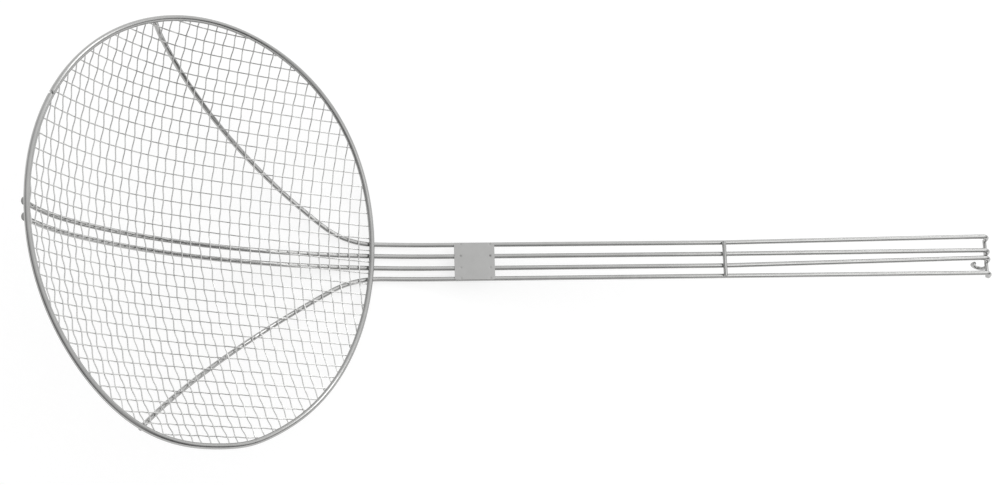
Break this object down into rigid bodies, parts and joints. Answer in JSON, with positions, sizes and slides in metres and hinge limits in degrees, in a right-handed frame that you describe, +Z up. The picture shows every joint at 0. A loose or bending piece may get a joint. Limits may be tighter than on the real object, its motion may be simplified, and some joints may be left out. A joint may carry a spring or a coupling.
{
  "type": "spider skimmer",
  "caption": "Wire spider skimmer: a shallow woven bowl in a round hoop on a long flat handle of parallel wires, with a bare plate, a cross wire and a hanging hook.",
  "frame": {"origin": "on the table under the middle of the box, with the skimmer lying balanced on the round of its wires", "axes": "+X from the bowl to the handle's end, +Y to the right of someone who holds the handle, +Z up"},
  "size_m": [0.7544, 0.305, 0.1602],
  "materials": {
    "frame_wire": "bright plated steel wire",
    "mesh_wire": "bright plated fine steel wire",
    "plate": "satin steel sheet"
  },
  "bodies": {
    "root": {"handle_cross_wire": "frame_wire", "handle_end_bar": "frame_wire", "handle_plate": "plate", "hanging_hook": "frame_wire", "inner_wire_left": "frame_wire", "inner_wire_right": "frame_wire", "mesh_cross_wire_00": "mesh_wire", "mesh_cross_wire_01": "mesh_wire", "mesh_cross_wire_02": "mesh_wire", "mesh_cross_wire_03": "mesh_wire", "mesh_cross_wire_04": "mesh_wire", "mesh_cross_wire_05": "mesh_wire", "mesh_cross_wire_06": "mesh_wire", "mesh_cross_wire_07": "mesh_wire", "mesh_cross_wire_08": "mesh_wire", "mesh_cross_wire_09": "mesh_wire", "mesh_cross_wire_10": "mesh_wire", "mesh_cross_wire_11": "mesh_wire", "mesh_cross_wire_12": "mesh_wire", "mesh_cross_wire_13": "mesh_wire", "mesh_cross_wire_14": "mesh_wire", "mesh_cross_wire_15": "mesh_wire", "mesh_cross_wire_16": "mesh_wire", "mesh_cross_wire_17": "mesh_wire", "mesh_cross_wire_18": "mesh_wire", "mesh_cross_wire_19": "mesh_wire", "mesh_long_wire_00": "mesh_wire", "mesh_long_wire_01": "mesh_wire", "mesh_long_wire_02": "mesh_wire", "mesh_long_wire_03": "mesh_wire", "mesh_long_wire_04": "mesh_wire", "mesh_long_wire_05": "mesh_wire", "mesh_long_wire_06": "mesh_wire", "mesh_long_wire_07": "mesh_wire", "mesh_long_wire_08": "mesh_wire", "mesh_long_wire_09": "mesh_wire", "mesh_long_wire_10": "mesh_wire", "mesh_long_wire_11": "mesh_wire", "mesh_long_wire_12": "mesh_wire", "mesh_long_wire_13": "mesh_wire", "mesh_long_wire_14": "mesh_wire", "mesh_long_wire_15": "mesh_wire", "mesh_long_wire_16": "mesh_wire", "mesh_long_wire_17": "mesh_wire", "outer_wire_left": "frame_wire", "outer_wire_right": "frame_wire", "rim_hoop": "frame_wire"}
  },
  "joints": []
}
